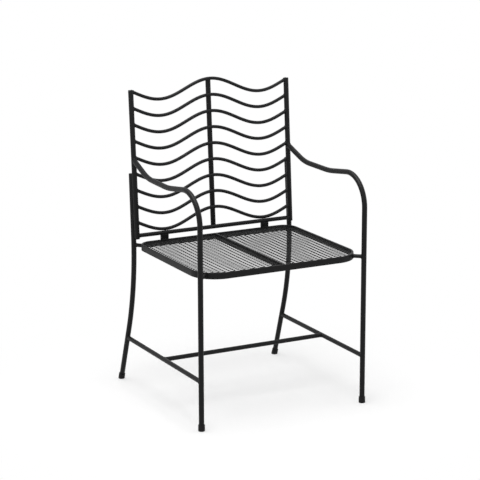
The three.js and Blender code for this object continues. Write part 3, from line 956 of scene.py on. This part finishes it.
class BuildSeatFixings(Operator):
    """Build the corner stubs and the spacers under the back."""

    bl_idname = "armchair.seat_fixings"
    bl_label = "Seat stubs and spacers"

    def execute(self, _context):
        rods, seat, back = sizes("rods", "seat", "back")
        height = back.rail_z - seat.top
        for word, sign in SIDES:
            for where in ("front", "rear"):
                rod_piece(f"seat_stub_{where}_{word}", stub_ends(where, sign), rods.stub)
            mesh = bmesh.new()
            middle = place(sign * seat.spacer_x, back.rail_y, seat.top + height / 2)
            block = bmesh.ops.create_cube(mesh, size=1)["verts"]
            bmesh.ops.scale(mesh, verts=block, vec=(seat.spacer_width, seat.spacer_thickness, height))
            bmesh.ops.translate(mesh, verts=block, vec=middle)
            round_off(mesh, list(mesh.edges), rods.bar_rounding)
            node = f"back_spacer_{word}"
            finish_piece(mesh, f"{node}_block", [node], "coated_flat_bar")
        return {"FINISHED"}


class BuildStretchers(Operator):
    """Build the side stretchers and the cross stretcher."""

    bl_idname = "armchair.stretchers"
    bl_label = "Stretchers"

    def execute(self, _context):
        rods, side = sizes("rods", "side")
        for word, sign in SIDES:
            rod_piece(f"side_stretcher_{word}", side_stretcher_ends(sign), rods.stretcher)
        ends = [place(sign * side.front_leg_x, side.cross_y, side.stretcher_z) for _word, sign in SIDES]
        rod_piece("cross_stretcher", ends, rods.stretcher)
        return {"FINISHED"}


class BuildGlides(Operator):
    """Build the foot glides as turned cups in line with their legs."""

    bl_idname = "armchair.glides"
    bl_label = "Foot glides"

    def execute(self, _context):
        side = settings().side
        for word, sign in SIDES:
            self.glide(f"foot_glide_front_{word}", place(sign * side.front_leg_x, side.front_leg_y, 0), 0)
            rear_foot = place(sign * side.rear_foot_x, kicked_leg_depth(0), 0)
            self.glide(f"foot_glide_rear_{word}", rear_foot, side.leg_kick)
        return {"FINISHED"}

    def glide(self, node, foot, tilt):
        """A cup with a groove under its rim, spun about its leg's line and cut off at the floor."""
        glide, inner = settings().glide, settings().rods.frame / 2
        outer, rim, high = inner + glide.wall, glide.rim, glide.height
        eased = rim * (1 - math.cos(FULL_TURN / 8))
        waist, middle = outer - glide.groove, glide.groove_height
        mouth, bottom = glide.groove_mouth / 2, glide.groove_floor / 2
        profile = [
            (0, -high / 2), (outer, -high / 2),
            (outer, middle - mouth), (waist, middle - bottom),
            (waist, middle + bottom), (outer, middle + mouth),
            (outer, high - rim), (outer - eased, high - eased), (outer - rim, high),
            (inner, high), (inner, high / 2), (0, high / 2),
        ]
        mesh = bmesh.new()
        verts = [bmesh.ops.create_vert(mesh, co=(out, 0, up))["vert"][0] for out, up in profile]
        for start, end in zip(verts, verts[1:]):
            mesh.edges.new((start, end))
        bmesh.ops.spin(
            mesh, geom=everything(mesh), cent=(0, 0, 0), axis=UP, angle=FULL_TURN,
            steps=GLIDE_SIDES, use_merge=True, use_duplicate=False)
        bmesh.ops.remove_doubles(mesh, verts=mesh.verts, dist=MERGE_DISTANCE)
        turn = Matrix.Translation(foot) @ Matrix.Rotation(tilt, 4, "X")
        bmesh.ops.transform(mesh, matrix=turn, verts=mesh.verts)
        edges = cut_away(mesh, UP * glide.sole, -UP)
        sole = bmesh.ops.contextual_create(mesh, geom=edges)["faces"]
        round_off(mesh, list({edge for face in sole for edge in face.edges}), rim)
        finish_piece(mesh, f"{node}_cup", [node], "glide_plastic")


class BuildWelds(Operator):
    """Build the weld beads round the joints."""

    bl_idname = "armchair.welds"
    bl_label = "Weld beads"

    def execute(self, _context):
        for name, slot, maker in (
                ("welds_back", "coated_rod", self.back_welds),
                ("welds_seat", "coated_flat_bar", self.seat_welds),
                ("welds_base", "coated_rod", self.base_welds)):
            mesh = bmesh.new()
            maker(mesh)
            finish_piece(mesh, name, [], slot, "coated_weld", WELD_EDGE)
        return {"FINISHED"}

    def ring_bead(self, mesh, spots):
        """A bead with even ripples, through spots all round a joint."""
        weld = settings().weld
        swell = [
            1 + weld.ripple * math.sin(weld.bead_ripples * FULL_TURN * i / len(spots))
            for i in range(len(spots))]
        self.add(mesh, spots, weld.bead, swell, closed=True)

    def add(self, mesh, spots, thickness, swell, closed):
        """Makes one weld in a small mesh, which is quicker, and adds it to the others."""
        part = bmesh.new()
        curved_rod(part, spots, thickness, settings().weld.sides, closed, swell)
        data = bpy.data.meshes.new("weld")
        part.to_mesh(data)
        part.free()
        mesh.from_mesh(data)
        bpy.data.meshes.remove(data)

    def round_the_rod(self, along, thickness):
        """Offsets all round a rod, from its middle line."""
        side = along.orthogonal().normalized()
        other = along.cross(side)
        steps = settings().weld.bead_steps
        turns = [FULL_TURN * i / steps for i in range(steps)]
        return [(side * math.cos(turn) + other * math.sin(turn)) * (thickness / 2) for turn in turns]

    def bead(self, mesh, joint, along, thin, across, thick):
        """A bead round a thin rod where it enters a thick one; along points out of the joint."""
        along, across = along.normalized(), across.normalized()
        reach = along - across * along.dot(across)
        spots = []
        for around in self.round_the_rod(along, thin * settings().weld.bead_seat):
            off = around - across * around.dot(across)
            a, b, c = reach.dot(reach), reach.dot(off), off.dot(off) - (thick / 2) ** 2
            spots.append(joint + along * (math.sqrt(b * b - a * c) - b) / a + around)
        self.ring_bead(mesh, spots)

    def seam(self, mesh, middle, long, thickness, along):
        """A short rippled weld with round ends, laid in the crook between two pieces."""
        weld = settings().weld
        steps = max(2, round(long / weld.ripple_length)) * RIPPLE_STEPS
        spots, swell = [], []
        for i in range(steps + 1):
            reach = 2 * i / steps - 1
            spots.append(middle + along * (reach * long / 2))
            ripple = 1 + weld.ripple * math.sin(FULL_TURN * i / RIPPLE_STEPS)
            swell.append(max(math.sqrt(1 - reach ** 4), weld.seam_end) * ripple)
        self.add(mesh, spots, thickness, swell, closed=False)

    def back_welds(self, mesh):
        """Beads on slats, rail and arms, seams at the centre post and between rear legs and posts."""
        rods, side, back, weld = sizes("rods", "side", "back", "weld")
        up = back_up()
        for number in range(1, back.slats + 1):
            middle = slat_middle(number)
            for _word, sign in SIDES:
                end = back_place(sign * back.post_x, slat_height(back.post_x, middle))
                inner = back.post_x - rods.frame
                along = back_place(sign * inner, slat_height(inner, middle)) - end
                self.bead(mesh, end, along, rods.slat, up, rods.frame)
                crook = back_place(sign * weld.slat_seam_out, slat_height(0, middle), rods.slat / 2)
                self.seam(mesh, crook, weld.slat_seam, weld.slat_seam_width, up)
        for _word, sign in SIDES:
            self.bead(mesh, back_place(sign * back.post_x, 0), -sign * ACROSS, rods.rail, up, rods.frame)
            before, end = arm_corners(sign)[-2:]
            self.bead(mesh, end, before - end, rods.frame, up, rods.frame)
            for part in LEG_SEAMS:
                height = back.rail_z + (side.leg_top_z - back.rail_z) * part
                leg = place(sign * rear_leg_out(height), rear_leg_depth(height), height)
                post = place(sign * back.post_x, post_depth(height), height)
                outward = (leg - post).cross(up).normalized() * weld.leg_seam_out
                for way in (-1, 1):
                    crook = (leg + post) / 2 + outward * way
                    self.seam(mesh, crook, weld.leg_seam, weld.leg_seam_width, up)

    def seat_welds(self, mesh):
        rods, seat, back, weld = sizes("rods", "seat", "back", "weld")
        for _word, sign in SIDES:
            for where, leg_way in (("front", UP), ("rear", back_up())):
                inner, leg = stub_ends(where, sign)
                out = (leg - inner).normalized()
                self.bead(mesh, leg, -out, rods.stub, leg_way, rods.frame)
                face = inner + out * rods.bar_thickness / 2
                self.ring_bead(mesh, [face + around for around in self.round_the_rod(out, rods.stub)])
            long = seat.spacer_width * weld.spacer_seam
            for height in (seat.top, back.rail_z - rods.rail / 2):
                for way in (-1, 1):
                    crook = place(
                        sign * seat.spacer_x, back.rail_y + way * seat.spacer_thickness / 2, height)
                    self.seam(mesh, crook, long, weld.bar_seam_width, ACROSS)
            for depth in (seat.front + rods.bar_thickness, seat.rear - rods.bar_thickness):
                corner = place(sign * rods.bar_thickness / 2, depth, seat.top - rods.bar_height / 2)
                self.seam(mesh, corner, rods.bar_height * weld.bar_seam, weld.bar_seam_width, UP)
            self.tacks(mesh, sign)

    def tacks(self, mesh, sign):
        """Small tacks that hold the expanded sheet inside the hoop, on one side of the chair."""
        rods, seat, weld = sizes("rods", "seat", "weld")
        height = seat.top - seat.mesh_below - seat.mesh_thickness / 2
        spacing, bar = weld.tack_spacing, rods.bar_thickness
        spots = []
        for number in range(weld.side_tacks):
            depth = seat.front + seat.front_corner + spacing * (number + FIRST_SIDE_TACK)
            spots.append((seat.half_width - bar, depth, REARWARD))
        for number in range(1, weld.end_tacks + 1):
            spots.append((number * spacing, seat.front + bar, ACROSS))
            spots.append((number * spacing, seat.rear - bar, ACROSS))
        for number in range(weld.bar_tacks):
            spots.append((bar / 2, seat.front + spacing * (number + FIRST_BAR_TACK), REARWARD))
        for out, depth, along in spots:
            self.seam(mesh, place(sign * out, depth, height), weld.tack, weld.tack_width, along)

    def base_welds(self, mesh):
        rods, side = sizes("rods", "side")
        for _word, sign in SIDES:
            front, rear = side_stretcher_ends(sign)
            self.bead(mesh, front, rear - front, rods.stretcher, UP, rods.frame)
            low, high = rear_leg_corners(sign)[:2]
            self.bead(mesh, rear, front - rear, rods.stretcher, high - low, rods.frame)
            cross = front.lerp(rear, (side.cross_y - side.front_leg_y) / (rear.y - front.y))
            self.bead(mesh, cross, -sign * ACROSS, rods.stretcher, rear - front, rods.stretcher)


class BuildStage(Operator):
    """Build the floor, the lamps, the world and the camera at the photograph's angle."""

    bl_idname = "armchair.stage"
    bl_label = "Floor, lamps and camera"

    def execute(self, context):
        self.floor()
        for name, power, size, location in LAMPS:
            self.lamp(name, getattr(settings().stage, power), size, location)
        self.camera(context.scene)
        context.scene.world = bpy.data.worlds.new("studio")
        studio_world(Shader(context.scene.world))
        context.scene.view_settings.view_transform = "Standard"
        return {"FINISHED"}

    def floor(self):
        stage = settings().stage
        mesh = bmesh.new()
        bmesh.ops.create_grid(mesh, x_segments=1, y_segments=1, size=stage.floor_size / 2)
        bmesh.ops.translate(mesh, verts=mesh.verts, vec=-UP * stage.floor_sink)
        new_object(mesh, "floor", "studio_floor")

    def lamp(self, name, power, size, location):
        """A round soft lamp, aimed at the chair."""
        light = bpy.data.lights.new(name, "AREA")
        light.energy = power
        light.shape = "DISK"
        light.size = size
        lamp = bpy.data.objects.new(name, light)
        lamp.location = location
        aim = UP * settings().stage.lamp_aim - Vector(location)
        lamp.rotation_euler = aim.to_track_quat("-Z", "Y").to_euler()
        bpy.context.scene.collection.objects.link(lamp)

    def camera(self, scene):
        stage = settings().stage
        turn, fall = stage.camera_turn, stage.camera_fall
        look = Vector((
            math.sin(turn) * math.cos(fall), math.cos(turn) * math.cos(fall), -math.sin(fall)))
        level = look.to_track_quat("-Z", "Y").to_matrix()
        data = bpy.data.cameras.new("camera")
        data.lens = stage.lens
        data.sensor_width = SENSOR_WIDTH
        data.clip_end = VIEW_DEPTH
        camera = bpy.data.objects.new("camera", data)
        camera.location = Vector(stage.camera_aim) - look * stage.camera_distance
        camera.rotation_euler = (level @ Matrix.Rotation(stage.camera_roll, 3, "Z")).to_euler()
        scene.collection.objects.link(camera)
        scene.camera = camera


BUILDERS = (
    BuildSideFrames,
    BuildBackPosts,
    BuildSlats,
    BuildSeatFrame,
    BuildSeatMesh,
    BuildSeatFixings,
    BuildStretchers,
    BuildGlides,
    BuildWelds,
    BuildStage,
)


class ArmchairPanel(Panel):
    """Settings and builders of the armchair."""

    bl_idname = "VIEW3D_PT_armchair"
    bl_label = "Garden armchair"
    bl_space_type = "VIEW_3D"
    bl_region_type = "UI"
    bl_category = "Armchair"

    def draw(self, context):
        for name in ArmchairSettings.__annotations__:
            box = self.layout.box()
            box.label(text=name.capitalize())
            group = getattr(context.scene.armchair, name)
            for key in group.__annotations__:
                box.prop(group, key)
        for builder in BUILDERS:
            self.layout.operator(builder.bl_idname)


CLASSES = (*GROUPS, ArmchairSettings, *BUILDERS, ArmchairPanel)


def register():
    for item in CLASSES:
        bpy.utils.register_class(item)
    bpy.types.Scene.armchair = PointerProperty(type=ArmchairSettings)


def unregister():
    del bpy.types.Scene.armchair
    for item in reversed(CLASSES):
        bpy.utils.unregister_class(item)


def main():
    register()
    for builder in BUILDERS:
        group, name = builder.bl_idname.split(".")
        getattr(getattr(bpy.ops, group), name)()


if __name__ == "__main__":
    main()
